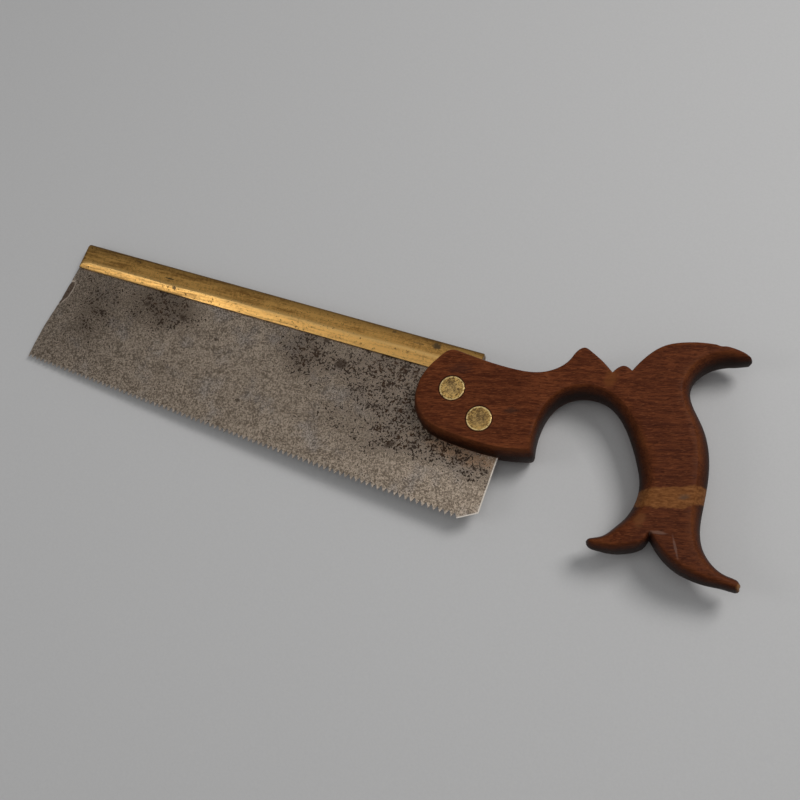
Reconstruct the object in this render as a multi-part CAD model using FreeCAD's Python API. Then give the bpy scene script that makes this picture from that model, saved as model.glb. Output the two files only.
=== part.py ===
import FreeCAD, Part
import os

# Back saw, lying on the flat of its handle. Drawing frame in millimetres:
# X runs along the spine from the toe to the handle, Y from the teeth to the spine,
# and Z = 0 is the middle of the saw plate. Y = 0 is the level of the first tooth, at the toe.

# Steel plate
PLATE_THICKNESS = 0.8
FIRST_TOOTH = (-2.1, 0.0)
LAST_TOOTH = (253.0, -11.6)
TOOTH_LINE_BREAST = 0.9
TOOTH_COUNT = 89
TOOTH_DEPTH_TOE = 1.6
TOOTH_DEPTH_HEEL = 2.2
PITCH_GROWTH = 0.10
HEEL_X = 262.15
HEEL_CLIP_Y = -5.9
TOE_EDGE = [(2.9, 55.0), (1.4, 37.5), (0.3, 29.5), (-1.2, 19.5), (-1.9, 8.5)]
TOE_TOP_X = 4.0
PLATE_IN_BACK = 9.0
PLATE_TAIL_Y = 43.0
PLATE_TAIL_X = 240.5
PLATE_SHOULDER = 0.8

# Folded brass back
BACK_FRONT_X = 3.8
BACK_REAR_X = 239.0
BACK_BOTTOM_Y = 56.6
BACK_HEIGHT = 14.3
BACK_WIDTH = 6.4
BACK_BEVEL_HEIGHT = 4.2
BACK_LIP_WIDTH = 3.2
BACK_TOP_RADIUS = 1.4
BACK_TOE_CHAMFER = 1.2
BACK_SLOT_DEPTH = 10.4

# Wooden handle
HANDLE_THICKNESS = 22.2
KERF_CLEARANCE = 0.05
MORTISE_CLEARANCE = 0.05

# Saw screws: a bolt through the handle and a round split nut on its end
BOLT_CENTRES = {"upper": (231.5, 46.7), "lower": (249.2, 35.9)}
HEAD_DIAMETER = 12.3
HEAD_THICKNESS = 2.0
NECK_SIDE = 6.4
NECK_LENGTH = 4.5
SHANK_DIAMETER = 5.6
NUT_THICKNESS = 4.4
NUT_SLOT_WIDTH = 1.2
NUT_SLOT_DEPTH = 1.5
HEAD_CLEARANCE = 0.08
NECK_CLEARANCE = 0.06
SHANK_CLEARANCE = 0.08
THREAD_CLEARANCE = 0.05
PLATE_HOLE_CLEARANCE = 0.2

HALF = HANDLE_THICKNESS / 2.0
BACK_TOP_Y = BACK_BOTTOM_Y + BACK_HEIGHT
PLATE_TOP_Y = BACK_BOTTOM_Y + PLATE_IN_BACK

# Corners of the handle's outline
SPUR_VALLEY = (302.2, 76.8)
BEAD_VALLEY = (310.6, 80.2)
CHEEK_CORNER = (279.2, 26.8)
NOTCH_APEX = (340.4, 7.2)

# Smooth runs of the handle's outline between those corners, clockwise
SPUR = [SPUR_VALLEY, (296.0, 81.0), (290.0, 84.0), (286.2, 85.1), (283.6, 83.2)]
HOLLOW = [SPUR[-1], (280.9, 77.0), (276.0, 71.0), (268.5, 67.0), (258.0, 65.4), (245.0, 65.4), (230.0, 66.6)]
CHEEK = [HOLLOW[-1], (223.8, 66.2), (219.6, 61.6), (215.4, 53.8), (213.3, 44.0), (214.3, 36.5), (218.6, 29.3)]
CHEEK_BASE = [CHEEK[-1], (226.0, 24.5), (236.0, 22.5), (248.0, 22.0), (260.0, 22.3), (270.0, 23.9), CHEEK_CORNER]
FINGER_ARC = [CHEEK_CORNER, (277.8, 33.0), (277.2, 40.0), (278.3, 49.5), (281.8, 57.5), (288.5, 62.9)]
FINGER_ARC += [(297.0, 64.7), (305.5, 62.6), (312.5, 57.3)]
GRIP_FRONT = [FINGER_ARC[-1], (319.6, 48.3), (325.7, 38.0), (329.2, 29.5), (329.6, 20.5), (327.3, 12.0)]
FRONT_HORN = [GRIP_FRONT[-1], (323.8, 6.2), (319.2, 0.8), (314.6, -2.6), (314.6, -4.4), (319.0, -5.3)]
FRONT_HORN_BASE = [FRONT_HORN[-1], (326.0, -4.6), (332.0, -2.4), (336.7, 0.6), (339.3, 3.7), NOTCH_APEX]
REAR_HORN_BASE = [NOTCH_APEX, (344.0, 3.6), (348.5, -0.1), (354.0, -3.0), (361.0, -4.8), (370.0, -5.2)]
REAR_HORN = [REAR_HORN_BASE[-1], (378.5, -4.5), (383.9, -3.2), (383.6, -0.7), (377.0, 1.4), (370.5, 3.6)]
GRIP_BACK = [REAR_HORN[-1], (364.6, 8.8), (361.0, 16.5), (359.5, 26.0), (358.4, 37.5), (354.9, 53.3)]
GRIP_BACK += [(348.0, 65.8), (341.6, 73.5)]
HORN_HOLLOW = [GRIP_BACK[-1], (338.7, 80.0), (339.5, 86.6), (343.6, 92.9), (350.5, 97.7), (358.5, 100.1)]
UPPER_HORN = [HORN_HOLLOW[-1], (361.1, 101.5), (359.6, 103.5), (352.0, 104.7), (341.0, 103.4), (329.0, 100.3)]
HORN_BACK = [UPPER_HORN[-1], (321.5, 96.5), (315.6, 90.0), BEAD_VALLEY]
BEAD = [BEAD_VALLEY, (308.8, 81.1), (306.4, 81.3), (304.2, 79.9), SPUR_VALLEY]

SMOOTH_CHAINS = [
    [SPUR, HOLLOW, CHEEK, CHEEK_BASE],
    [FINGER_ARC, GRIP_FRONT, FRONT_HORN, FRONT_HORN_BASE],
    [REAR_HORN_BASE, REAR_HORN, GRIP_BACK, HORN_HOLLOW, UPPER_HORN, HORN_BACK],
    [BEAD],
]


def vec(point, z=0.0):
    return FreeCAD.Vector(point[0], point[1], z)


def polygon_prism(points, low_z, high_z):
    corners = [vec(p, low_z) for p in points]
    face = Part.Face(Part.makePolygon(corners + [corners[0]]))
    return face.extrude(FreeCAD.Vector(0, 0, high_z - low_z))


def cylinder(centre, diameter, low_z, high_z):
    return Part.makeCylinder(diameter / 2.0, high_z - low_z, vec(centre, low_z))


def square_bar(centre, side, low_z, high_z):
    corner = vec((centre[0] - side / 2.0, centre[1] - side / 2.0), low_z)
    return Part.makeBox(side, side, high_z - low_z, corner)


def box(x_range, y_range, z_range):
    size = [high - low for low, high in (x_range, y_range, z_range)]
    return Part.makeBox(*size, FreeCAD.Vector(x_range[0], y_range[0], z_range[0]))


def tooth_line_point(share):
    """A point on the slightly breasted line of the tooth tips, at a share of its length from the toe."""
    x = FIRST_TOOTH[0] + (LAST_TOOTH[0] - FIRST_TOOTH[0]) * share
    y = FIRST_TOOTH[1] + (LAST_TOOTH[1] - FIRST_TOOTH[1]) * share
    return (x, y - TOOTH_LINE_BREAST * 4.0 * share * (1.0 - share))


def tooth_share(index):
    """Share of the tooth line before a tooth; the pitch grows a little towards the heel."""
    s = index / TOOTH_COUNT
    return s * (1.0 - PITCH_GROWTH / 2.0 + PITCH_GROWTH / 2.0 * s)


def tooth_line():
    points = [tooth_line_point(0.0)]
    for i in range(TOOTH_COUNT):
        middle = (tooth_share(i) + tooth_share(i + 1)) / 2.0
        depth = TOOTH_DEPTH_TOE + (TOOTH_DEPTH_HEEL - TOOTH_DEPTH_TOE) * middle
        gullet = tooth_line_point(middle)
        points.append((gullet[0], gullet[1] + depth))
        points.append(tooth_line_point(tooth_share(i + 1)))
    return points


def make_saw_plate():
    outline = tooth_line()
    outline += [(HEEL_X, HEEL_CLIP_Y), (HEEL_X, PLATE_TAIL_Y)]
    # above the kerf the plate steps in, so that it stays within the back's mortise
    shoulder_y = BACK_BOTTOM_Y + PLATE_SHOULDER
    outline += [(PLATE_TAIL_X, shoulder_y), (BACK_REAR_X - 1.0, shoulder_y)]
    outline += [(BACK_REAR_X - 1.0, PLATE_TOP_Y), (TOE_TOP_X, PLATE_TOP_Y)]
    outline += TOE_EDGE
    plate = polygon_prism(outline, -PLATE_THICKNESS / 2.0, PLATE_THICKNESS / 2.0)
    for centre in BOLT_CENTRES.values():
        hole = SHANK_DIAMETER + 2.0 * PLATE_HOLE_CLEARANCE
        plate = plate.cut(cylinder(centre, hole, -PLATE_THICKNESS, PLATE_THICKNESS))
    return plate


def make_brass_back():
    """A strip folded lengthwise: flat sides, a bevel down to each lip, a rounded fold on top."""
    side = BACK_WIDTH / 2.0
    lip = BACK_LIP_WIDTH / 2.0
    slot = PLATE_THICKNESS / 2.0
    bevel_y = BACK_BOTTOM_Y + BACK_BEVEL_HEIGHT
    slot_y = BACK_BOTTOM_Y + BACK_SLOT_DEPTH
    section = [(BACK_BOTTOM_Y, -lip), (BACK_BOTTOM_Y, -slot), (slot_y, -slot), (slot_y, slot)]
    section += [(BACK_BOTTOM_Y, slot), (BACK_BOTTOM_Y, lip), (bevel_y, side), (BACK_TOP_Y, side)]
    section += [(BACK_TOP_Y, -side), (bevel_y, -side)]
    corners = [FreeCAD.Vector(BACK_FRONT_X, y, z) for y, z in section]
    face = Part.Face(Part.makePolygon(corners + [corners[0]]))
    strip = face.extrude(FreeCAD.Vector(BACK_REAR_X - BACK_FRONT_X, 0, 0))
    top_edges = [e for e in strip.Edges if runs_along_top(e)]
    strip = strip.makeFillet(BACK_TOP_RADIUS, top_edges)
    toe_edges = [e for e in strip.Edges if stands_at_toe(e)]
    return strip.makeChamfer(BACK_TOE_CHAMFER, toe_edges)


def runs_along_top(edge):
    bounds = edge.BoundBox
    return bounds.XLength > 1.0 and abs(bounds.YMin - BACK_TOP_Y) < 0.01


def stands_at_toe(edge):
    bounds = edge.BoundBox
    outer = abs(abs(bounds.ZMin) - BACK_WIDTH / 2.0) < 0.01 and bounds.ZLength < 0.01
    return abs(bounds.XMax - BACK_FRONT_X) < 0.01 and outer and bounds.YLength > 1.0


def chain_edge(runs):
    """One smooth curve through the points of runs that follow each other."""
    points = list(runs[0])
    for run in runs[1:]:
        points += run[1:]
    curve = Part.BSplineCurve()
    curve.interpolate([vec(p, -HALF) for p in points])
    return curve.toShape()


def make_handle():
    outline = Part.Wire([chain_edge(runs) for runs in SMOOTH_CHAINS])
    handle = Part.Face(outline).extrude(FreeCAD.Vector(0, 0, HANDLE_THICKNESS))
    kerf = PLATE_THICKNESS / 2.0 + KERF_CLEARANCE
    handle = handle.cut(box((200.0, HEEL_X + 0.2), (0.0, BACK_BOTTOM_Y + 1.0), (-kerf, kerf)))
    mortise = BACK_WIDTH / 2.0 + MORTISE_CLEARANCE
    mortise_y = (BACK_BOTTOM_Y - MORTISE_CLEARANCE, BACK_TOP_Y + 5.0)
    handle = handle.cut(box((200.0, BACK_REAR_X + MORTISE_CLEARANCE), mortise_y, (-mortise, mortise)))
    for centre in BOLT_CENTRES.values():
        seat = HEAD_DIAMETER + 2.0 * HEAD_CLEARANCE
        neck = NECK_SIDE + 2.0 * NECK_CLEARANCE
        neck_end = HALF - HEAD_THICKNESS - NECK_LENGTH - NECK_CLEARANCE
        handle = handle.cut(cylinder(centre, seat, HALF - HEAD_THICKNESS, HALF + 1.0))
        handle = handle.cut(square_bar(centre, neck, neck_end, HALF))
        handle = handle.cut(cylinder(centre, SHANK_DIAMETER + 2.0 * SHANK_CLEARANCE, -HALF, HALF))
        handle = handle.cut(cylinder(centre, seat, -HALF - 1.0, NUT_THICKNESS - HALF))
    return handle


def make_saw_bolt(centre):
    head = cylinder(centre, HEAD_DIAMETER, HALF - HEAD_THICKNESS, HALF)
    neck = square_bar(centre, NECK_SIDE, HALF - HEAD_THICKNESS - NECK_LENGTH, HALF - HEAD_THICKNESS)
    shank = cylinder(centre, SHANK_DIAMETER, -HALF, HALF - HEAD_THICKNESS)
    return head.fuse([neck, shank]).removeSplitter()


def make_split_nut(centre):
    nut = cylinder(centre, HEAD_DIAMETER, -HALF, NUT_THICKNESS - HALF)
    nut = nut.cut(cylinder(centre, SHANK_DIAMETER + 2.0 * THREAD_CLEARANCE, -HALF - 1.0, 0.0))
    slot_y = (centre[1] - NUT_SLOT_WIDTH / 2.0, centre[1] + NUT_SLOT_WIDTH / 2.0)
    slot_x = (centre[0] - HEAD_DIAMETER, centre[0] + HEAD_DIAMETER)
    return nut.cut(box(slot_x, slot_y, (-HALF - 1.0, NUT_SLOT_DEPTH - HALF)))


def build():
    nodes = {"saw_plate": make_saw_plate(), "brass_back": make_brass_back(), "handle": make_handle()}
    for place, centre in BOLT_CENTRES.items():
        nodes["saw_bolt_" + place] = make_saw_bolt(centre)
        nodes["split_nut_" + place] = make_split_nut(centre)
    return nodes


def main():
    nodes = build()
    bounds = Part.makeCompound(list(nodes.values())).optimalBoundingBox(False)
    shift = FreeCAD.Vector(-bounds.Center.x, -bounds.Center.y, -bounds.ZMin)
    print("moved by", shift, "size", bounds.XLength, bounds.YLength, bounds.ZLength)
    os.makedirs("parts", exist_ok=True)
    for name, shape in nodes.items():
        shape.translate(shift)
        solids = shape.Solids
        print(name, "solids", len(solids), "valid", shape.isValid(), "volume", round(shape.Volume, 1))
        solids[0].exportStep(os.path.join("parts", name + ".step"))


main()
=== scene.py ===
import math
import random

import bmesh
import bpy
import numpy as np
from mathutils import Matrix, Vector
from mathutils.geometry import delaunay_2d_cdt


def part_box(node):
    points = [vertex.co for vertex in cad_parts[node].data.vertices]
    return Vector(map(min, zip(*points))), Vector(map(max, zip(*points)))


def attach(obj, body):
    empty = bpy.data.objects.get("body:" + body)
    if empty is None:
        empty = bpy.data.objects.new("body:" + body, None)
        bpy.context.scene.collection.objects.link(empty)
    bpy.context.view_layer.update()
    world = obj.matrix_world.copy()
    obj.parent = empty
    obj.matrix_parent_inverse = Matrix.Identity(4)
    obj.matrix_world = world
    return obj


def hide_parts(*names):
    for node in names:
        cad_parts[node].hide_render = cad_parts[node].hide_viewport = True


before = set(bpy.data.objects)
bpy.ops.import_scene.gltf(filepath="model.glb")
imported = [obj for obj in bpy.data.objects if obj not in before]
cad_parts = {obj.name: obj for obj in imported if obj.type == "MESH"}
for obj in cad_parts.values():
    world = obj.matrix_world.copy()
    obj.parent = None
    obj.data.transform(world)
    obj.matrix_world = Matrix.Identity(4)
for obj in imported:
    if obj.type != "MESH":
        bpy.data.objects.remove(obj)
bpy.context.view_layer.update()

# Drawing frame, in millimetres: X runs along the spine from the toe to the handle, Y from the first
# tooth towards the spine, and H is the height above the middle of the saw plate.
MM = 0.001
PLATE_LOW, PLATE_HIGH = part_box("saw_plate")
BACK_LOW, BACK_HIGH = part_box("brass_back")
HANDLE_LOW, HANDLE_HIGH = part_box("handle")
BACK_BOTTOM_Y = 56.6
BACK_FRONT_X = 3.8
ORIGIN_X = BACK_LOW.x - BACK_FRONT_X * MM
ORIGIN_Y = BACK_LOW.y - BACK_BOTTOM_Y * MM
MID_Z = (HANDLE_LOW.z + HANDLE_HIGH.z) / 2.0
HALF = (HANDLE_HIGH.z - HANDLE_LOW.z) / 2.0 / MM
HEEL_X = (PLATE_HIGH.x - ORIGIN_X) / MM
PLATE_TOP_Y = (PLATE_HIGH.y - ORIGIN_Y) / MM
PLATE_THICKNESS = (PLATE_HIGH.z - PLATE_LOW.z) / MM
BACK_REAR_X = (BACK_HIGH.x - ORIGIN_X) / MM
BACK_HEIGHT = (BACK_HIGH.y - BACK_LOW.y) / MM
BACK_WIDTH = (BACK_HIGH.z - BACK_LOW.z) / MM

# The tooth line bows a little downward from first tooth to last. Behind it the heel is clipped.
FIRST_TOOTH = (-2.1, 0.0)
LAST_TOOTH = (253.0, -11.6)
TOOTH_LINE_BREAST = 0.9
HEEL_CLIP_Y = -5.9


def place(x, y, h):
    return Vector((ORIGIN_X + x * MM, ORIGIN_Y + y * MM, MID_Z + h * MM))


def in_plane(point):
    """A point of the frame as x and y of the drawing, in millimetres."""
    return ((point.x - ORIGIN_X) / MM, (point.y - ORIGIN_Y) / MM)


def centre_of(node):
    low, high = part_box(node)
    return in_plane((low + high) / 2.0)


BOLT_CENTRES = {"upper": centre_of("saw_bolt_upper"), "lower": centre_of("saw_bolt_lower")}


def new_object(name, data):
    made = bpy.data.objects.new(name, data)
    bpy.context.scene.collection.objects.link(made)
    return made


# ---- camera, light and floor

# The camera stands over CAMERA_FOOT, CAMERA_HEIGHT above the plate's middle (mm)
CAMERA_FOOT = (360.4, -92.6)
CAMERA_HEIGHT = 494.06
LENS_MM = 48.15
CAMERA_RIGHT = Vector((0.91723, 0.34632, -0.19686))
CAMERA_UP = Vector((-0.27309, 0.90642, 0.32220))

# The saw lies on the cheek's front edge and on the toe, so the floor is tilted against it
REST_TILT = math.radians(2.11)
REST_EDGE_X = 215.0
FLOOR_HALF_SIDE = 6.0

# Lights: name, position, target (m), size (m), watts and colour
LIGHTS = [
    ("key", (0.60, 0.60, 1.05), (0.03, 0.0, 0.0), (0.5, 0.5), 7.6, (1.0, 0.985, 0.965)),
    ("overhead", (0.18, -0.08, 1.2), (0.05, 0.0, 0.0), (0.65, 0.65), 1.5, (1.0, 0.99, 0.97)),
    ("front", (-0.66, -0.40, 0.84), (-0.06, 0.0, 0.0), (0.42, 0.34), 0.95, (1.0, 0.985, 0.975)),
]


def make_camera():
    camera = new_object("camera", bpy.data.cameras.new("camera"))
    camera.data.lens = LENS_MM
    camera.data.sensor_width = 36.0
    camera.data.clip_start = 0.01
    right = CAMERA_RIGHT.normalized()
    back = right.cross(CAMERA_UP).normalized()
    up = back.cross(right)
    turn = Matrix((right, up, back)).transposed().to_4x4()
    camera.matrix_world = Matrix.Translation(place(*CAMERA_FOOT, CAMERA_HEIGHT)) @ turn
    bpy.context.scene.camera = camera


def make_area_light(name, position, target, size, watts, colour):
    light = bpy.data.lights.new(name, "AREA")
    light.shape = "RECTANGLE"
    light.size, light.size_y = size
    light.energy = watts
    light.color = colour
    lamp = new_object(name, light)
    lamp.location = position
    lamp.rotation_euler = (Vector(target) - Vector(position)).to_track_quat("-Z", "Y").to_euler()


def make_world():
    world = bpy.data.worlds.new("studio")
    world.use_nodes = True
    sky = world.node_tree.nodes["Background"].inputs
    sky["Color"].default_value = (0.97, 0.99, 1.0, 1.0)
    sky["Strength"].default_value = 0.20
    bpy.context.scene.world = world
    bpy.context.scene.view_settings.view_transform = "Standard"


def make_floor():
    """A plain pale floor, tilted so that it touches the handle and the toe."""
    side = FLOOR_HALF_SIDE
    corners = [(-side, -side), (side, -side), (side, side), (-side, side)]
    edge_x = ORIGIN_X + REST_EDGE_X * MM
    drop = math.tan(REST_TILT)
    verts = [(x, y, HANDLE_LOW.z - (x - edge_x) * drop) for x, y in corners]
    mesh = bpy.data.meshes.new("floor")
    mesh.from_pydata(verts, [], [(0, 1, 2, 3)])
    floor = new_object("floor", mesh)
    paint = Paint("floor_pale")
    grain = paint.noise(paint.mm, 0.9, detail=4)
    paint.base(paint.mix(grain, (0.57, 0.57, 0.575), (0.62, 0.62, 0.625)))
    paint.rough(0.6)
    floor.data.materials.append(paint.material)


# ---- materials


class Paint:
    """The nodes of one material. Its methods take numbers, colours or sockets, and return sockets."""

    def __init__(self, name, metallic=0.0):
        self.material = bpy.data.materials.new(name)
        self.material.use_nodes = True
        self.nodes = self.material.node_tree.nodes
        self.shader = self.nodes["Principled BSDF"]
        self.shader.inputs["Metallic"].default_value = metallic
        spot = self.node("TexCoord", {}).outputs["Object"]
        scaled = self.node("VectorMath", {0: spot, "Scale": 1.0 / MM}, operation="SCALE").outputs[0]
        origin = (ORIGIN_X / MM, ORIGIN_Y / MM, MID_Z / MM)
        self.mm = self.node("VectorMath", {0: scaled, 1: origin}, operation="SUBTRACT").outputs[0]
        self.x, self.y = self.node("SeparateXYZ", {0: self.mm}).outputs[:2]

    def node(self, kind, values, **settings):
        """A new node with some settings, and values for the inputs of the given names or numbers."""
        node = self.nodes.new("ShaderNode" + kind)
        for name, setting in settings.items():
            setattr(node, name, setting)
        for key, value in values.items():
            self.put(node.inputs[key], value)
        return node

    def put(self, socket, value):
        if isinstance(value, bpy.types.NodeSocket):
            self.material.node_tree.links.new(value, socket)
        elif isinstance(value, tuple) and len(value) == 3 and socket.type == "RGBA":
            socket.default_value = (*value, 1.0)
        else:
            socket.default_value = value

    def math(self, operation, *values):
        return self.node("Math", dict(enumerate(values)), operation=operation).outputs[0]

    def add(self, *values):
        total = values[0]
        for value in values[1:]:
            total = self.math("ADD", total, value)
        return total

    def times(self, *values):
        total = values[0]
        for value in values[1:]:
            total = self.math("MULTIPLY", total, value)
        return total

    def blend(self, *parts):
        """The sum of some values, each times its weight."""
        return self.add(*[self.times(value, weight) for value, weight in parts])

    def minus(self, first, second):
        return self.math("SUBTRACT", first, second)

    def swing(self, value, size):
        """A value about 0.5, such as a noise, as a swing about 0 that is size times as large."""
        return self.times(self.add(value, -0.5), size)

    def step(self, value, low, high, start=0.0, end=1.0):
        """A smooth rise from start to end as value goes from low to high."""
        values = {"Value": value, "From Min": low, "From Max": high, "To Min": start, "To Max": end}
        return self.node("MapRange", values, interpolation_type="SMOOTHSTEP").outputs["Result"]

    def noise(self, vector, scale=1.0, detail=2.0, rough=0.5, distortion=0.0):
        values = {"Vector": vector, "Scale": scale, "Detail": detail, "Roughness": rough}
        return self.node("TexNoise", {**values, "Distortion": distortion}).outputs[0]

    def grain(self, scale, turn=0.0, shift=(0.0, 0.0, 0.0), detail=2.0, rough=0.5, distortion=0.0):
        """A noise whose place is turned by some degrees about Z, then scaled per axis."""
        values = {"Vector": self.mm, "Rotation": (0.0, 0.0, math.radians(-turn)), "Location": shift}
        turned = self.node("Mapping", values).outputs[0]
        scaled = self.node("VectorMath", {0: turned, 1: scale}, operation="MULTIPLY").outputs[0]
        return self.noise(scaled, 1.0, detail, rough, distortion)

    def mix(self, share, first, second):
        return self.node("Mix", {0: share, 6: first, 7: second}, data_type="RGBA").outputs[2]

    def offset(self, centre):
        return self.minus(self.x, centre[0]), self.minus(self.y, centre[1])

    def spot(self, centre, radii, turn=0.0, wobble=None, edge=0.35):
        """1 inside an ellipse of the drawing's plane and 0 outside, with a soft, uneven edge."""
        dx, dy = self.offset(centre)
        cos, sin = math.cos(math.radians(turn)), math.sin(math.radians(turn))
        along = self.blend((dx, cos), (dy, sin))
        across = self.blend((dy, cos), (dx, -sin))
        squares = [self.math("POWER", self.times(part, 1 / radius), 2.0)
                   for part, radius in zip((along, across), radii)]
        reach = self.math("SQRT", self.add(*squares))
        if wobble is not None:
            reach = self.add(reach, wobble)
        return self.step(reach, 1.0 - edge, 1.0 + edge, 1.0, 0.0)

    def from_centre(self, centre):
        """Distance (mm) from an upright axis through a place of the drawing's plane."""
        dx, dy = self.offset(centre)
        return self.math("SQRT", self.add(self.times(dx, dx), self.times(dy, dy)))

    def from_screws(self):
        """Distance (mm) from the axis of the nearer saw screw."""
        return self.math("MINIMUM", *[self.from_centre(centre) for centre in BOLT_CENTRES.values()])

    def attribute(self, name):
        return self.node("Attribute", {}, attribute_name=name).outputs["Fac"]

    def base(self, colour):
        self.colour = colour
        self.put(self.shader.inputs["Base Color"], colour)

    def cover(self, share, shade, strength=1.0):
        """Lays a shade over the colour so far, where share is more than 0."""
        if strength != 1.0:
            share = self.times(share, strength)
        self.base(self.mix(share, self.colour, shade))

    def rough(self, value):
        self.put(self.shader.inputs["Roughness"], value)

    def bump(self, height, distance_mm, strength=1.0):
        values = {"Height": height, "Distance": distance_mm * MM, "Strength": strength}
        self.put(self.shader.inputs["Normal"], self.node("Bump", values).outputs[0])


# Turn of the wood grain against the spine (degrees)
GRAIN_TURN = 15.5

# Marks on the wood: centre, radii (mm), turn (degrees), strength and colour
WOOD_MARKS = [
    ((262.5, 44), (3.2, 1.5), 15, 0.6, (0.034, 0.017, 0.012)),
    ((232, 57.5), (5.5, 2.6), 20, 0.45, (0.03, 0.014, 0.012)),
    ((350, 28), (2.6, 1.3), 30, 0.6, (0.085, 0.06, 0.045)),
    ((302.4, 73), (2.6, 4.2), 0, 0.45, (0.21, 0.07, 0.019)),
    ((343.5, 9), (3.4, 0.7), 12, 0.55, (0.23, 0.13, 0.095)),
    ((352.5, 5), (0.5, 4.5), 28, 0.5, (0.22, 0.125, 0.095)),
    ((334.5, 12), (2.2, 3.6), -10, 0.45, (0.2, 0.078, 0.027)),
    ((383.6, -2.2), (1.5, 1.7), 0, 0.75, (0.33, 0.16, 0.055)),
]


def make_wood():
    paint = Paint("oiled_wood")
    paint.shader.inputs["Specular IOR Level"].default_value = 0.045
    streak = paint.grain((0.045, 0.42, 0.42), GRAIN_TURN, (0.0, 3.0, 1.0), 5.0, 0.65, 0.3)
    fibre = paint.grain((0.2, 1.5, 1.5), GRAIN_TURN, detail=5.0, rough=0.72)
    cloud = paint.grain((0.03, 0.07, 0.07), GRAIN_TURN, (11.0, 5.0, 0.0), 4.0, 0.6)
    pores = paint.grain((0.33, 2.3, 2.3), GRAIN_TURN, (3.0, 7.0, 2.0), 3.0, 0.6)
    pores = paint.step(pores, 0.56, 0.66)
    tone = paint.blend((streak, 0.45), (fibre, 0.55))
    paint.base(paint.mix(paint.step(tone, 0.4, 0.61), (0.071, 0.0172, 0.007), (0.166, 0.0455, 0.016)))
    paint.cover(paint.step(cloud, 0.45, 0.66, 0.0, 0.36), (0.06, 0.0145, 0.0062))
    flecks = paint.grain((0.3, 1.7, 1.7), GRAIN_TURN + 5.0, (9.0, 2.0, 6.0), 3.0, 0.6)
    paint.cover(paint.step(flecks, 0.56, 0.66, 0.0, 0.5), (0.255, 0.082, 0.03))
    paint.cover(pores, (0.026, 0.0062, 0.0024), 0.68)
    # Painted shade: the wood darkens towards the rear horn, where the lamp's light falls off.
    rear_shade = paint.step(paint.x, 280.0, 385.0, 0.0, 0.34)
    paint.cover(rear_shade, (0.045, 0.014, 0.0075))
    # Lighter along the crests of the roundings: worn finish with a painted highlight.
    worn_and_highlit = paint.times(paint.attribute("wear_and_highlight"), paint.step(cloud, 0.35, 0.58, 1.0, 0.25))
    paint.cover(worn_and_highlit, (0.2, 0.062, 0.018), 0.5)
    # Near-black on the side walls and along the outline's rim: painted shade, partly grime.
    paint.cover(paint.attribute("grime_and_shade"), (0.01, 0.0033, 0.0014), 0.9)
    band = make_bare_band(paint, fibre)
    mottle = paint.grain((0.35, 0.8, 0.8), GRAIN_TURN, (1.0, 8.0, 4.0), 4.0, 0.65)
    patchy = paint.step(paint.blend((fibre, 0.3), (mottle, 0.7)), 0.36, 0.66)
    bare = paint.mix(patchy, (0.14, 0.049, 0.014), (0.275, 0.11, 0.036))
    paint.cover(band, bare)
    for centre, radii, turn, share, shade in WOOD_MARKS:
        mark = paint.spot(centre, radii, turn, paint.swing(tone, 3.0), 0.5)
        paint.cover(mark, shade, share)
    # A dark ring round each screw head: painted shadow of the seat gap, with dirt.
    reach = paint.from_screws()
    paint.cover(paint.step(reach, 6.3, 7.1, 0.8, 0.0), (0.018, 0.0075, 0.0035))
    paint.rough(paint.add(paint.step(tone, 0.35, 0.65, 0.38, 0.5), paint.times(band, 0.14)))
    relief = paint.blend((fibre, 0.6), (streak, 0.5), (pores, -0.8))
    paint.bump(relief, 0.12, 0.6)
    return paint.material


def make_bare_band(paint, fibre):
    """The stripe across the grip where the finish is gone, between two wavy lines."""
    sway = paint.swing(paint.grain((0.16, 0.16, 0.05), detail=3.0, rough=0.55), 7.0)
    from_front = paint.minus(paint.x, 330.0)
    top = paint.add(paint.times(from_front, 0.36), 26.2, paint.times(sway, 0.5))
    bulge = paint.math("POWER", paint.times(from_front, 1 / 28.0), 2.0)
    bottom = paint.add(paint.times(bulge, 9.0), 18.0, sway)
    above = paint.step(paint.minus(paint.y, bottom), -0.5, 0.9)
    below = paint.step(paint.minus(top, paint.y), -0.5, 0.8)
    inside = paint.times(above, below, paint.step(paint.x, 322.0, 326.0))
    return paint.times(inside, paint.step(fibre, 0.25, 0.55, 0.8, 1.0))


# Where the plate is pitted (or, below zero, clean): centre, radii (mm), turn (degrees) and weight
PITTED_AREAS = [
    ((12, 42), (16, 15), 0, 0.3),
    ((34, 45), (22, 14), 0, 0.44),
    ((58, 48), (17, 11), 20, 0.66),
    ((75, 47), (11, 10), 0, 0.66),
    ((20, 20), (17, 11), 30, 0.46),
    ((82, 13), (10, 8), 0, 0.36),
    ((143, 46), (15, 13), 0, 0.58),
    ((155, 50), (15, 9), 0, 0.5),
    ((128, 12), (12, 9), 0, 0.3),
    ((193, 49), (20, 12), 0, 0.78),
    ((186, 30), (26, 18), 20, 0.58),
    ((212, 34), (11, 20), -10, 0.8),
    ((224, 20), (24, 8), -12, 0.75),
    ((191, 51.5), (6, 4.5), 0, 0.85),
    ((218, 24.5), (11, 4), -34, 1.00),
    ((237, 18.5), (11, 2.6), -4, 0.8),
    ((206, 32.5), (6, 2.6), -30, 0.7),
    ((148, 44), (7, 5), 0, 0.4),
    ((204, 10), (12, 6), 20, 0.5),
    ((252, 13), (12, 7), -15, 0.55),
    ((110, 34), (22, 20), 0, -0.22),
    ((236, -1), (30, 8), 0, -0.34),
    ((160, 4), (34, 9), 0, -0.18),
]

# A rusty stain along the cheek, and where the surface has flaked away at the toe (mm)
CHEEK_STAIN = (243.0, 20.0)
TOE_FLAKE = (1.8, 41.0)

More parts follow.
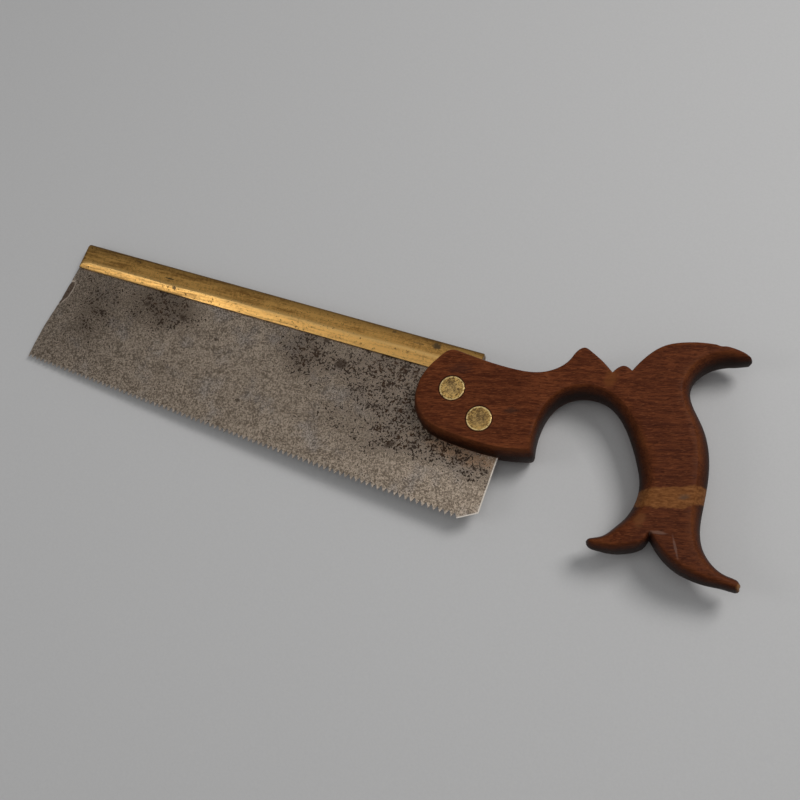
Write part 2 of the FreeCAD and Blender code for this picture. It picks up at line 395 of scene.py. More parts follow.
# The larger dark spots on the plate: centre, radii (mm) and turn (degrees)
STEEL_SPOTS = [
    ((169.5, 45.5), (3.1, 2.5), 20),
    ((98.6, 39.4), (1.4, 0.9), 0),
    ((157, 55.4), (1.6, 1), 0),
    ((124, 11.5), (1.3, 1), 40),
    ((52, 47.5), (2.2, 1.2), 30),
    ((75.5, 45.5), (2.6, 1.5), -20),
    ((209, 13), (3, 1.3), 40),
]


def make_steel():
    paint = Paint("pitted_steel", 0.88)
    cloud = paint.grain((0.055, 0.07, 0.06), 0.0, (2.0, 9.0, 0.0), 5.0, 0.62)
    load = paint.swing(cloud, 1.5)
    for centre, radii, turn, weight in PITTED_AREAS:
        load = paint.add(load, paint.times(paint.spot(centre, radii, turn, None, 0.95), weight))
    grain = paint.noise(paint.mm, 0.92, 2.5, 0.6)
    fine = paint.noise(paint.mm, 1.35, 3.0, 0.75)
    mottle = paint.noise(paint.mm, 0.16, 5.0, 0.7)
    blotch = paint.grain((0.26, 0.26, 0.2), 0.0, (5.0, 3.0, 0.0), 5.0, 0.72)
    limit = paint.step(load, -0.2, 1.05, 0.675, 0.525)
    limit = paint.add(limit, paint.swing(mottle, -0.42))
    pits = paint.step(paint.minus(grain, limit), -0.005, 0.015)
    freckle = paint.step(paint.minus(fine, limit), -0.005, 0.015)
    crust = paint.add(blotch, paint.swing(grain, 0.35))
    crust = paint.minus(crust, paint.step(load, 0.45, 1.15, 0.74, 0.555))
    crust = paint.step(crust, -0.01, 0.03)
    tone = paint.blend((fine, 0.52), (grain, 0.26), (mottle, 0.22))
    share = paint.step(tone, 0.44, 0.575)
    paint.base(paint.mix(share, (0.215, 0.167, 0.124), (0.665, 0.54, 0.425)))
    blued = paint.step(paint.noise(paint.mm, 0.05, 4.0, 0.6), 0.5, 0.66, 0.0, 0.4)
    paint.cover(blued, paint.mix(share, (0.17, 0.154, 0.15), (0.57, 0.525, 0.505)))
    # Painted shade: the plate is darker towards the toe.
    toe_shade = paint.step(paint.x, 5.0, 95.0, 0.4, 0.0)
    paint.cover(toe_shade, paint.mix(share, (0.085, 0.066, 0.05), (0.455, 0.37, 0.3)))
    bared = paint.times(paint.step(load, 0.35, 0.95, 0.0, 0.6), paint.step(paint.x, 100.0, 190.0))
    paint.cover(bared, paint.mix(share, (0.4, 0.32, 0.25), (0.86, 0.72, 0.6)))
    stain = paint.spot(CHEEK_STAIN, (19.0, 4.5), -8.0, paint.swing(mottle, 2.0), 0.6)
    paint.cover(stain, (0.36, 0.19, 0.09), 0.55)
    paint.cover(pits, (0.034, 0.021, 0.014), 0.94)
    paint.cover(freckle, (0.06, 0.04, 0.03), 0.7)
    paint.cover(crust, (0.06, 0.032, 0.018), 0.92)
    for centre, radii, turn in STEEL_SPOTS:
        spot = paint.spot(centre, radii, turn, paint.swing(fine, 2.4), 0.35)
        paint.cover(spot, (0.07, 0.047, 0.034), 0.8)
    flake = paint.spot(TOE_FLAKE, (3.3, 8.0), -14.0, paint.swing(mottle, 0.9), 0.14)
    # The bright line round the flaked patch is a painted highlight on the ridge of its dip.
    lip = paint.times(flake, paint.minus(1.0, flake), 4.0, paint.step(mottle, 0.4, 0.52))
    paint.cover(flake, (0.12, 0.076, 0.053), 0.7)
    paint.cover(lip, (0.9, 0.76, 0.63), 0.8)
    paint.cover(tooth_shine(paint), (0.8, 0.7, 0.6), 0.45)
    paint.cover(rubbed_heel(paint), (0.95, 0.88, 0.8), 0.85)
    dull = paint.math("MAXIMUM", paint.math("MAXIMUM", pits, freckle), crust)
    paint.rough(paint.step(dull, 0.0, 1.0, 0.42, 0.68))
    relief = paint.blend((dull, -1.0), (fine, 0.6), (grain, 0.5), (flake, -1.5))
    paint.bump(relief, 0.09, 0.8)
    return paint.material


def tooth_shine(paint):
    """1 at the filed tips of the teeth, fading out above them."""
    share = paint.times(paint.add(paint.x, -FIRST_TOOTH[0]), 1.0 / (LAST_TOOTH[0] - FIRST_TOOTH[0]))
    level = paint.add(paint.times(share, LAST_TOOTH[1] - FIRST_TOOTH[1] - 4.0 * TOOTH_LINE_BREAST),
                      paint.times(share, share, 4.0 * TOOTH_LINE_BREAST))
    return paint.step(paint.minus(paint.y, level), 0.6, 2.6, 1.0, 0.0)


def rubbed_heel(paint):
    """1 along the plate's heel edge and the clipped corner under it."""
    clip = (HEEL_X - LAST_TOOTH[0], HEEL_CLIP_Y - LAST_TOOTH[1])
    length = math.hypot(*clip)
    above_clip = paint.add(paint.times(paint.add(paint.y, -LAST_TOOTH[1]), clip[0] / length),
                           paint.times(paint.add(paint.x, -LAST_TOOTH[0]), -clip[1] / length))
    inset = paint.math("MINIMUM", paint.minus(HEEL_X, paint.x), above_clip)
    return paint.step(inset, 0.35, 0.8, 1.0, 0.0)


# Stains on the brass back: centre, radii (mm) and strength
BRASS_SPOTS = [
    ((214.7, 67.6), (2.1, 1.5), 0.85),
    ((64.6, 59.7), (1.15, 0.95), 0.9),
    ((60.2, 63.9), (2.6, 0.4), 0.9),
    ((38, 68.6), (1.6, 0.5), 0.55),
    ((191, 69), (1.2, 0.6), 0.6),
    ((205, 66.5), (2.8, 0.5), 0.45),
]


def make_brass(name, light, dark, grime_and_shade_share):
    paint = Paint(name, 1.0)
    cloud = paint.grain((0.035, 0.22, 0.22), 0.0, (4.0, 1.0, 0.0), 5.0, 0.65)
    fine = paint.noise(paint.mm, 0.8, 5.0, 0.7)
    scratch = paint.grain((0.07, 1.1, 1.1), 2.0, detail=3.0, rough=0.65)
    tone = paint.blend((cloud, 0.34), (fine, 0.3), (scratch, 0.36))
    paint.base(paint.mix(paint.step(tone, 0.39, 0.57), dark, light))
    near_toe = paint.step(paint.x, 6.0, 60.0, 0.3, 0.0)
    paint.cover(paint.times(near_toe, paint.step(scratch, 0.42, 0.58, 1.0, 0.3)), (0.2, 0.11, 0.035))
    paint.cover(paint.step(paint.x, 150.0, 225.0, 0.0, 0.16), (0.36, 0.19, 0.055))
    # Bright gold on the worn edges, with a painted highlight along the bevel's ridge.
    paint.cover(paint.attribute("wear_and_highlight"), (0.95, 0.6, 0.22), 0.8)
    specks = paint.step(paint.noise(paint.mm, 0.65, 4.0, 0.7), 0.6, 0.66)
    paint.cover(specks, (0.1, 0.052, 0.018), 0.85)
    # Painted shade in the slot, at the lip's foot and on the top rounding, joined by tarnish at the ends.
    paint.cover(paint.attribute("grime_and_shade"), (0.06, 0.034, 0.014), grime_and_shade_share)
    for centre, radii, share in BRASS_SPOTS:
        spot = paint.spot(centre, radii, 0.0, paint.swing(fine, 1.8), 0.35)
        paint.cover(spot, (0.095, 0.07, 0.042), share)
    paint.rough(paint.add(paint.step(tone, 0.3, 0.7, 0.46, 0.3), paint.times(specks, 0.2)))
    relief = paint.blend((fine, 0.5), (scratch, 0.5), (specks, -0.6))
    paint.bump(relief, 0.04, 0.6)
    return paint.material


def make_screw_brass():
    """Filed and tarnished heads: a bright rim round a greyer middle with slanting file marks."""
    paint = Paint("screw_brass", 1.0)
    fine = paint.noise(paint.mm, 0.9, 5.0, 0.75)
    files = paint.grain((0.5, 2.6, 1.0), 52.0, detail=4.0, rough=0.7)
    blotch = paint.noise(paint.mm, 0.33, 4.0, 0.65)
    tone = paint.blend((fine, 0.34), (files, 0.36), (blotch, 0.3))
    share = paint.step(tone, 0.44, 0.56)
    paint.base(paint.mix(share, (0.16, 0.09, 0.032), (1.0, 0.64, 0.21)))
    reach = paint.from_screws()
    middle = paint.step(paint.add(reach, paint.times(fine, 4.0)), 4.0, 7.6, 0.5, 0.0)
    paint.cover(middle, paint.mix(share, (0.13, 0.092, 0.05), (0.6, 0.41, 0.19)))
    browner = paint.step(paint.x, 239.0, 241.0, 0.0, 0.34)
    paint.cover(browner, (0.2, 0.115, 0.045))
    rim = paint.times(paint.step(reach, 5.35, 5.6), paint.step(reach, 5.95, 6.1, 1.0, 0.0))
    paint.cover(paint.times(rim, paint.step(fine, 0.4, 0.52)), (1.0, 0.76, 0.36))
    specks = paint.step(paint.noise(paint.mm, 0.75, 4.0, 0.7), 0.6, 0.66)
    paint.cover(specks, (0.1, 0.06, 0.028), 0.75)
    paint.rough(paint.step(tone, 0.35, 0.65, 0.52, 0.34))
    paint.bump(paint.blend((tone, 1.0), (specks, -0.6)), 0.05, 0.6)
    return paint.material


# ---- mesh helpers

# Angles over which an edge is drawn sharp (degrees)
HANDLE_SHARP_ANGLE = 48.0
SCREW_SHARP_ANGLE = 24.0
BACK_SHARP_ANGLE = 22.0
PLATE_SHARP_ANGLE = 20.0


def link_piece(name, verts, faces, attributes=None, flat_angle=35.0):
    """A mesh object from points in drawing millimetres, smooth except across sharp edges."""
    mesh = bpy.data.meshes.new(name)
    mesh.from_pydata([place(*v) for v in verts], [], [tuple(f) for f in faces])
    for key, values in (attributes or {}).items():
        layer = mesh.attributes.new(key, "FLOAT", "POINT")
        layer.data.foreach_set("value", np.asarray(values, dtype=np.float32))
    finish_mesh(mesh, flat_angle)
    return new_object(name, mesh)


def finish_mesh(mesh, flat_angle):
    clean = bmesh.new()
    clean.from_mesh(mesh)
    bmesh.ops.remove_doubles(clean, verts=clean.verts, dist=0.002 * MM)
    bmesh.ops.recalc_face_normals(clean, faces=clean.faces)
    clean.to_mesh(mesh)
    clean.free()
    mesh.shade_smooth()
    mesh.set_sharp_from_angle(angle=math.radians(flat_angle))
    mesh.update()


def combine(piece, others, operation, flat_angle=35.0):
    """Cuts other closed pieces out of one, or joins them to it, and deletes them."""
    for other in others:
        modifier = piece.modifiers.new("cut", "BOOLEAN")
        modifier.operation = operation
        modifier.solver = "EXACT"
        modifier.object = other
    bpy.context.view_layer.update()
    graph = bpy.context.evaluated_depsgraph_get()
    mesh = bpy.data.meshes.new_from_object(piece.evaluated_get(graph))
    piece.modifiers.clear()
    piece.data = mesh
    for other in others:
        bpy.data.objects.remove(other)
    finish_mesh(piece.data, flat_angle)
    return piece


def circle(centre, radius, segments):
    angles = [2.0 * math.pi * k / segments for k in range(segments)]
    return [(centre[0] + radius * math.cos(a), centre[1] + radius * math.sin(a)) for a in angles]


def closed_edges(loop):
    return list(zip(loop, loop[1:] + loop[:1]))


def lathe(name, centre, profile, segments=96):
    """A closed round solid from (radius, height) pairs that start and end on the axis."""
    verts, faces, rings = [], [], []
    for radius, height in profile:
        if radius == 0.0:
            rings.append([len(verts)] * segments)
            verts.append((*centre, height))
            continue
        rings.append(list(range(len(verts), len(verts) + segments)))
        verts += [(x, y, height) for x, y in circle(centre, radius, segments)]
    for lower, upper in zip(rings, rings[1:]):
        for (a, b), (d, c) in zip(closed_edges(lower), closed_edges(upper)):
            face = [a, b, c, d]
            faces.append(sorted(set(face), key=face.index))
    return link_piece(name, verts, faces, None, SCREW_SHARP_ANGLE)


def rod(name, centre, radius, low, high, segments=96):
    return lathe(name, centre, [(0, low), (radius, low), (radius, high), (0, high)], segments)


def block(name, x_range, y_range, h_range):
    verts = [(x, y, h) for h in h_range for y in y_range for x in x_range]
    faces = [(0, 2, 3, 1), (4, 5, 7, 6), (0, 1, 5, 4), (2, 6, 7, 3), (0, 4, 6, 2), (1, 3, 7, 5)]
    return link_piece(name, verts, faces)


def square(centre, side, h_range, name="square_cutter"):
    x_range, y_range = [(middle - side / 2.0, middle + side / 2.0) for middle in centre]
    return block(name, x_range, y_range, h_range)


def finish_piece(piece, material, body, slot, *nodes):
    piece.data.materials.clear()
    piece.data.materials.append(material)
    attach(piece, body)
    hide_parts(*nodes)


# ---- handle

# Spacing of the handle's outline and inner grid (mm), steps of its rounding, and its sharp corners
OUTLINE_STEP = 0.8
PROFILE_STEPS = 9
SMOOTHING_ROUNDS = 6
CORNER_FAN_STEP = math.radians(12.0)
INNER_GRID = 2.6
CORNERS = [(302.2, 76.8), (279.2, 26.8), (340.4, 7.2), (310.6, 80.2)]

# Edge shapes round the handle, counted along the outline: a place on it, the width of the rounding,
# and the two powers of its curve. 2 and 2 is an ellipse; a low first power leaves a crisp rim, and a
# high second power leaves an upright wall.
EDGE_SHAPES = [
    ((296, 81), 1, 2, 7),
    ((283.6, 83.2), 1, 2, 7),
    ((268.5, 67), 1.3, 1.8, 6),
    ((245, 65.4), 1.3, 1.8, 6),
    ((222, 64.8), 1.4, 1.8, 4.5),
    ((213.3, 44), 1.8, 1.3, 3.2),
    ((218.6, 29.3), 2.7, 1.2, 2.3),
    ((236, 22.5), 3, 1.15, 2),
    ((270, 23.9), 2.8, 1.12, 2),
    ((278.4, 31), 2.2, 1.2, 2.2),
    ((277.4, 40), 2.1, 1.3, 2.4),
    ((282, 57.7), 2.3, 1.5, 2.4),
    ((297, 64.7), 2.9, 1.5, 2.2),
    ((309, 60.5), 4, 1.3, 2.1),
    ((317, 52), 5, 1.18, 2),
    ((325.7, 38), 6, 1.12, 2),
    ((329.6, 20.5), 5.4, 1.15, 2),
    ((326, 9.6), 3.9, 1.35, 2.1),
    ((319.2, 0.8), 3, 1.9, 2),
    ((314.4, -3.6), 2.6, 1.9, 2),
    ((326, -4.6), 3.2, 1.8, 2),
    ((334, -1.2), 2.6, 1.8, 2),
    ((338.6, 2.6), 1.3, 1.8, 2.6),
    ((344, 3.6), 1.5, 1.8, 2.4),
    ((352, -2), 2.6, 1.8, 2),
    ((361, -4.8), 3.2, 1.8, 2),
    ((378.5, -4.5), 2.8, 1.9, 2),
    ((383.9, -2), 1.6, 1.9, 2.2),
    ((377, 1.4), 3.2, 2, 2),
    ((364.6, 8.8), 4.8, 2, 2),
    ((359.5, 26), 5.4, 1.25, 2),
    ((354.9, 53.3), 6, 1.25, 2),
    ((345, 69.5), 5, 1.4, 2),
    ((338.7, 80), 5.2, 2.2, 1.9),
    ((341.5, 90), 5, 2, 1.9),
    ((345, 94.2), 4.4, 1.4, 1.9),
    ((352, 98.3), 3.5, 1.25, 1.9),
    ((361.1, 101.5), 2.2, 1.6, 2.2),
    ((358, 104), 2.2, 1.8, 2.4),
    ((350, 104.6), 1.6, 1.9, 3),
    ((335, 102.1), 1.3, 2, 6),
    ((315.6, 90), 1.2, 2, 6),
    ((306.4, 81.3), 0.9, 2, 7),
]

# Where the handle thins towards a horn's tip: tip, reach (mm) and share of the thickness lost there
HORN_THINNING = [((361.0, 101.5), 13.0, 0.34), ((384.0, -2.0), 30.0, 0.42), ((314.4, -3.6), 22.0, 0.30)]

# Horn tips that run out to a point: place, reach and how far the tip goes (mm)
HORN_TIPS = [((361.1, 101.5), 7.0, (0.6, 1.1)), ((314.4, -3.6), 4.0, (-0.7, 0.7))]

# The cheek's lower corner is worn round: place and reach (mm)
WORN_CORNER = ((279.2, 26.8), 3.0)

# How far in from the outline the painted shade and grime on the handle's walls reach (mm)
WALL_SHADE_REACH = 0.9

# The outline stays this far inside the CAD handle's box (mm)
BOX_MARGIN = 0.02

# Points measured against the outline at one time
BATCH = 400

# Dents in the outline: place, half-width and depth (mm)
OUTLINE_DENTS = [((346.3, 104.1), 1.5, 0.45), ((384.0, -2.1), 0.5, 0.5), ((381.0, -4.0), 0.5, 0.35),
                 ((382.9, 0.2), 0.5, 0.35)]


def underside_outline(node):
    """The outline of a CAD node's flat underside, as points in drawing millimetres, anticlockwise."""
    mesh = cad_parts[node].data
    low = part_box(node)[0].z
    edges = set()
    for face in mesh.polygons:
        corners = [mesh.vertices[i].co for i in face.vertices]
        if max(c.z for c in corners) - low > 0.001 * MM:
            continue
        ring = [(round(c.x, 6), round(c.y, 6)) for c in corners]
        for a, b in closed_edges(ring):
            if (b, a) in edges:
                edges.remove((b, a))
            else:
                edges.add((a, b))
    following = dict(sorted(edges))
    loops = []
    while following:
        start = min(following)
        loop, here = [start], following.pop(start)
        while here != start:
            loop.append(here)
            here = following.pop(here)
        loops.append(loop)
    widest = max(loops, key=lambda loop: max(p[0] for p in loop) - min(p[0] for p in loop))
    points = (np.array(widest) - (ORIGIN_X, ORIGIN_Y)) / MM
    return points if signed_area(points) > 0.0 else points[::-1]


def signed_area(points):
    x, y = points[:, 0], points[:, 1]
    return 0.5 * float(np.sum(x * np.roll(y, -1) - np.roll(x, -1) * y))


def nearest(points, place_xy):
    return int(np.argmin(np.hypot(*(points - place_xy).T)))


def even_outline(points):
    """The outline with evenly spaced points and its sharp corners, and where those corners are in it."""
    marks = sorted(nearest(points, c) for c in CORNERS)
    chains, corner_places = [], []
    for start, end in zip(marks, marks[1:] + [marks[0] + len(points)]):
        chain = points[np.arange(start, end + 1) % len(points)]
        lengths = np.concatenate([[0.0], np.cumsum(np.hypot(*np.diff(chain, axis=0).T))])
        count = max(8, round(lengths[-1] / OUTLINE_STEP))
        stops = np.linspace(0.0, lengths[-1], count + 1)[:-1]
        corner_places.append(sum(len(c) for c in chains))
        chains.append(np.stack([np.interp(stops, lengths, chain[:, k]) for k in (0, 1)], 1))
    return np.concatenate(chains), corner_places


def shape_tips(outline):
    """Draws the horn tips out to points and wears the cheek's lower corner round."""
    for tip, reach, pull in HORN_TIPS:
        near = closeness(outline, tip, reach)
        outline = outline + (near ** 1.5)[:, None] * pull
    corner, reach = WORN_CORNER
    near = closeness(outline, corner, reach)[:, None]
    for _ in range(SMOOTHING_ROUNDS):
        between = (np.roll(outline, 1, 0) + np.roll(outline, -1, 0)) / 2.0
        outline = outline + near * (between - outline)
    low = np.add(in_plane(HANDLE_LOW), BOX_MARGIN)
    high = np.subtract(in_plane(HANDLE_HIGH), BOX_MARGIN)
    return np.clip(outline, low, high)


def press_dents(outline):
    inward = inward_normals(outline)
    for place_xy, half_width, depth in OUTLINE_DENTS:
        away = np.hypot(*(outline - place_xy).T) / half_width
        outline = outline + inward * (depth * np.exp(-away * away))[:, None]
    return outline


def closeness(points, place_xy, reach):
    """1 at a place, falling evenly to 0 at reach and beyond."""
    return np.clip(1.0 - np.hypot(*(points - place_xy).T) / reach, 0.0, 1.0)


def inward_normals(outline):
    ahead = np.roll(outline, -1, 0) - outline
    behind = outline - np.roll(outline, 1, 0)
    ahead /= np.hypot(*ahead.T)[:, None]
    behind /= np.hypot(*behind.T)[:, None]
    tangent = ahead + behind
    tangent /= np.hypot(*tangent.T)[:, None]
    return np.stack([-tangent[:, 1], tangent[:, 0]], 1)


def edge_shape_table(outline):
    """Rounding width and curve powers at every point of the outline."""
    steps = np.hypot(*(np.roll(outline, -1, 0) - outline).T)
    along = np.concatenate([[0.0], np.cumsum(steps)])
    total = along[-1]
    stations = sorted((along[nearest(outline, xy)], *shape) for xy, *shape in EDGE_SHAPES)
    stops = np.array([s[0] for s in stations])
    stops = np.concatenate([stops - total, stops, stops + total])
    columns = []
    for k in (1, 2, 3):
        values = np.tile([s[k] for s in stations], 3)
        columns.append(np.interp(along[:-1], stops, values))
    return np.stack(columns, 1)


def rounding_state(points, outline, shapes):
    """For points of the plane: share of full height, distance to the outline, depth in the rounding."""
    start, end = outline, np.roll(outline, -1, 0)
    shape_start, shape_end = shapes, np.roll(shapes, -1, 0)
    run = end - start
    length2 = (run ** 2).sum(1)
    batches = []
    for first in range(0, len(points), BATCH):
        block_points = points[first:first + BATCH, None, :]
        share = np.clip(((block_points - start) * run).sum(2) / length2, 0.0, 1.0)
        foot = start + share[..., None] * run
        away = np.hypot(*np.moveaxis(block_points - foot, 2, 0))
        local = shape_start + share[..., None] * (shape_end - shape_start)
        inside = np.clip(away / local[..., 0], 0.0, 1.0)
        rise = (1.0 - (1.0 - inside) ** local[..., 1]) ** (1.0 / local[..., 2])
        batches.append((rise.min(1), away.min(1), (away / local[..., 0]).min(1)))
    return [np.concatenate(values) for values in zip(*batches)]


def rounding_points(outline, corner_places, shapes):
    """Points of the rounded edge, several inward from every outline point, and the edges that ring it."""
    inward = inward_normals(outline)
    emitters = [(i, inward[i], 1.0) for i in range(len(outline)) if i not in corner_places]
    for i in corner_places:
        ahead = outline[(i + 1) % len(outline)] - outline[i]
        behind = outline[i] - outline[i - 1]
        turn = math.atan2(behind[0] * ahead[1] - behind[1] * ahead[0], float(behind @ ahead))
        if turn > 0.0:
            emitters.append((i, inward[i], 1.0 / math.cos(turn / 2.0)))
            continue
        fan = max(2, round(abs(turn) / CORNER_FAN_STEP))
        first = math.atan2(behind[1], behind[0]) + math.pi / 2.0
        for k in range(fan + 1):
            angle = first + turn * k / fan
            emitters.append((i, np.array([math.cos(angle), math.sin(angle)]), 1.0))
    emitters.sort(key=lambda emitter: emitter[0])
    rings = []
    for i, direction, stretch in emitters:
        width, rim_power, _ = shapes[i]
        for k in range(1, PROFILE_STEPS + 1):
            slope = math.cos(0.5 * math.pi * k / PROFILE_STEPS)
            inset = width * (1.0 - max(slope, 0.0) ** (2.0 / rim_power))
            rings.append((*(outline[i] + direction * inset * stretch), inset))
    rings = np.array(rings)
    distance = rounding_state(rings[:, :2], outline, shapes)[1]
    kept = distance > 0.985 * rings[:, 2] - 0.002
    number = np.cumsum(kept) - 1
    edges = []
    for here in range(len(rings)):
        ahead = (here + PROFILE_STEPS) % len(rings)
        short = np.hypot(*(rings[ahead, :2] - rings[here, :2])) < 2.0 * OUTLINE_STEP
        if kept[here] and kept[ahead] and short:
            edges.append((int(number[here]), int(number[ahead])))
    return rings[kept, :2], edges


def inner_points(outline, shapes):
    low, high = outline.min(0), outline.max(0)
    xs = np.arange(low[0], high[0], INNER_GRID)
    ys = np.arange(low[1], high[1], INNER_GRID * math.sqrt(0.75))
    shift = INNER_GRID / 2.0
    grid = np.array([(x + (shift if j % 2 else 0.0), y) for j, y in enumerate(ys) for x in xs])
    grid = grid[points_inside(grid, outline)]
    depth = rounding_state(grid, outline, shapes)[2]
    return grid[depth > 1.25]


def points_inside(points, outline):
    """True for the points inside a closed outline, by counting its crossings."""
    start, end = outline, np.roll(outline, -1, 0)
    y = points[:, 1][:, None]
    spans = (start[:, 1] > y) != (end[:, 1] > y)
    rise = np.where(end[:, 1] == start[:, 1], 1.0, end[:, 1] - start[:, 1])
    cross_x = start[:, 0] + (y - start[:, 1]) * (end[:, 0] - start[:, 0]) / rise
    return (spans & (points[:, 0][:, None] < cross_x)).sum(1) % 2 == 1


def thickness_share(points):
    share = np.ones(len(points))
    for tip, reach, loss in HORN_THINNING:
        near = closeness(points, tip, reach)
        share -= loss * near * near * (3.0 - 2.0 * near)
    return share


def make_handle_body():
    outline, corner_places = even_outline(underside_outline("handle"))
    outline = press_dents(shape_tips(outline))
    shapes = edge_shape_table(outline)
    rings, ring_edges = rounding_points(outline, corner_places, shapes)
    flat = np.concatenate([outline, rings, inner_points(outline, shapes)])
    rim = len(outline)
    ring_edges = [(a + rim, b + rim) for a, b in ring_edges]
    coords, _, faces, origins, _, _ = delaunay_2d_cdt(
        [Vector(p) for p in flat], ring_edges, [list(range(rim))], 1, 1e-5)
    coords = np.array([tuple(c) for c in coords])
    on_rim = np.array([any(o < rim for o in origin) for origin in origins])
    rise, distance, depth = rounding_state(coords, outline, shapes)
    height = rise * HALF * thickness_share(coords)
    height[on_rim] = 0.0
    # the lower half mirrors the upper one, and shares the points of the rim
    verts = [(x, y, h) for (x, y), h in zip(coords, height)]
    extra = [k for k in range(len(verts)) if not on_rim[k]]
    lower_index = {k: k for k in range(len(verts))}
    lower_index.update({k: len(verts) + n for n, k in enumerate(extra)})
    verts += [(*coords[k], -height[k]) for k in extra]
    all_faces = list(faces) + [[lower_index[i] for i in reversed(f)] for f in faces]
    # A lighter band along the crest of each rounding: worn finish, with a painted highlight there.
    wear_and_highlight = np.clip(1.0 - np.abs(depth - 0.80) / 0.40, 0.0, 1.0)
    # Painted shade: the side walls low down and a strip along the outline are darkened, partly grime and
    # darker end grain.
    low_down = np.clip(1.5 - 1.5 * rise, 0.0, 1.0)
    grime_and_shade = np.maximum(0.7 * np.clip(1.0 - distance / WALL_SHADE_REACH, 0.0, 1.0), low_down)
    layers = {"wear_and_highlight": wear_and_highlight, "grime_and_shade": grime_and_shade}
    attributes = {name: np.concatenate([values, values[extra]]) for name, values in layers.items()}
    return link_piece("handle_wood", verts, all_faces, attributes, HANDLE_SHARP_ANGLE)


# Bolt, nut and their clearances (mm), as the CAD has them
HEAD_RADIUS = 6.15
HEAD_THICKNESS = 2.0
NECK_SIDE = 6.4
NECK_LENGTH = 4.5
SHANK_RADIUS = 2.8
NUT_THICKNESS = 4.4
NUT_SLOT_WIDTH = 1.2
NUT_SLOT_DEPTH = 1.5
SEAT_GAP = 0.08
KERF_GAP = 0.05
NUT_FACE_GAP = 0.02
HEAD_RIM = 0.16
NUT_RIM = 0.2
SHANK_SEGMENTS = 64


def seat_cutters(centre):
    """The wood taken away for one saw screw: head seat, square neck seat, bore and nut seat."""
    seat = HEAD_RADIUS + SEAT_GAP
    neck_end = HALF - HEAD_THICKNESS - NECK_LENGTH - SEAT_GAP
    over = HALF + 1.0
    return [
        rod("head_cutter", centre, seat, HALF - HEAD_THICKNESS, over),
        square(centre, NECK_SIDE + 2 * SEAT_GAP, (neck_end, HALF - 1.0)),
        rod("bore_cutter", centre, SHANK_RADIUS + SEAT_GAP, 1.0 - HALF, HALF - 3.0),
        rod("nut_cutter", centre, seat, -over, NUT_THICKNESS - HALF),
    ]


def make_handle(material):
    handle = make_handle_body()
    kerf = PLATE_THICKNESS / 2.0 + KERF_GAP
    cutters = [block("kerf_cutter", (200.0, HEEL_X + 0.2), (0.0, BACK_BOTTOM_Y + 1.0), (-kerf, kerf))]
    side = BACK_WIDTH / 2.0 + KERF_GAP
    mortise_x = (200.0, BACK_REAR_X + KERF_GAP)
    mortise_y = (BACK_BOTTOM_Y - KERF_GAP, BACK_BOTTOM_Y + BACK_HEIGHT + 5.0)
    cutters.append(block("mortise_cutter", mortise_x, mortise_y, (-side, side)))
    for centre in BOLT_CENTRES.values():
        cutters += seat_cutters(centre)
    combine(handle, cutters, "DIFFERENCE", HANDLE_SHARP_ANGLE)
    finish_piece(handle, material, "saw", "wood", "handle")


# ---- saw plate

# Teeth, toe edge, tail and holes of the plate (mm, but for counts, the growth share and the seed)
TOOTH_COUNT = 89
TOOTH_DEPTH_TOE = 2.5
TOOTH_DEPTH_HEEL = 2.9
PITCH_GROWTH = 0.10
TOOTH_SET = 0.16
FLEAM_SHIFT = 0.06
FLEAM_DROP = 0.12
TOE_EDGE = [(4.0, 65.6), (2.9, 55.0), (1.4, 37.5), (0.3, 29.5), (-1.2, 19.5), (-1.9, 8.5), (-2.1, 0.0)]
PLATE_TAIL = (240.5, 43.0)
PLATE_SHOULDER_Y = BACK_BOTTOM_Y + 0.8
PLATE_HOLE_RADIUS = 3.0
HOLE_SEGMENTS = 48
PLATE_SEED = 7

# The worn toe edge: its points, how ragged it is, and its nicks as place, half-width and depth (mm)
TOE_STEPS = 90
TOE_RAGGEDNESS = 0.10
TOE_NICKS = [(47.5, 1.1, 0.35), (36.5, 1.0, 0.30)]


def tooth_line_point(share):
    x = FIRST_TOOTH[0] + (LAST_TOOTH[0] - FIRST_TOOTH[0]) * share
    y = FIRST_TOOTH[1] + (LAST_TOOTH[1] - FIRST_TOOTH[1]) * share
    return x, y - TOOTH_LINE_BREAST * 4.0 * share * (1.0 - share)


def tooth_share(index):
    s = index / TOOTH_COUNT
    return s * (1.0 - PITCH_GROWTH / 2.0 + PITCH_GROWTH / 2.0 * s)


def make_teeth(draw):
    """Tips and gullets as (upper point, lower point) pairs, filed at alternate angles and set."""
    half = PLATE_THICKNESS / 2.0
    tips, gullets = [], []
    for i in range(TOOTH_COUNT + 1):
        x, y = tooth_line_point(tooth_share(i))
        side = 1 if i % 2 else -1
        blunt = draw.uniform(0.02, 0.14) + 0.14 * math.exp(-i / 7.0)
        bend = side * TOOTH_SET * draw.uniform(0.7, 1.1)
        drop_up, drop_down = (0.0, FLEAM_DROP) if side > 0 else (FLEAM_DROP, 0.0)
        shift = draw.uniform(-0.06, 0.06) if 0 < i < TOOTH_COUNT else 0.0
        x += shift
        y += blunt
        tips.append(((x, y + drop_up, half + bend), (x, y + drop_down, bend - half)))
        if i == TOOTH_COUNT:
            break
        middle = (tooth_share(i) + tooth_share(i + 1)) / 2.0
        depth = TOOTH_DEPTH_TOE + (TOOTH_DEPTH_HEEL - TOOTH_DEPTH_TOE) * middle
        gx, gy = tooth_line_point(middle)
        gx += draw.uniform(-0.30, -0.10)
        gy += depth + draw.uniform(-0.12, 0.12)
        slant = side * FLEAM_SHIFT
        gullets.append(((gx + slant, gy, half), (gx - slant, gy, -half)))
    return tips, gullets


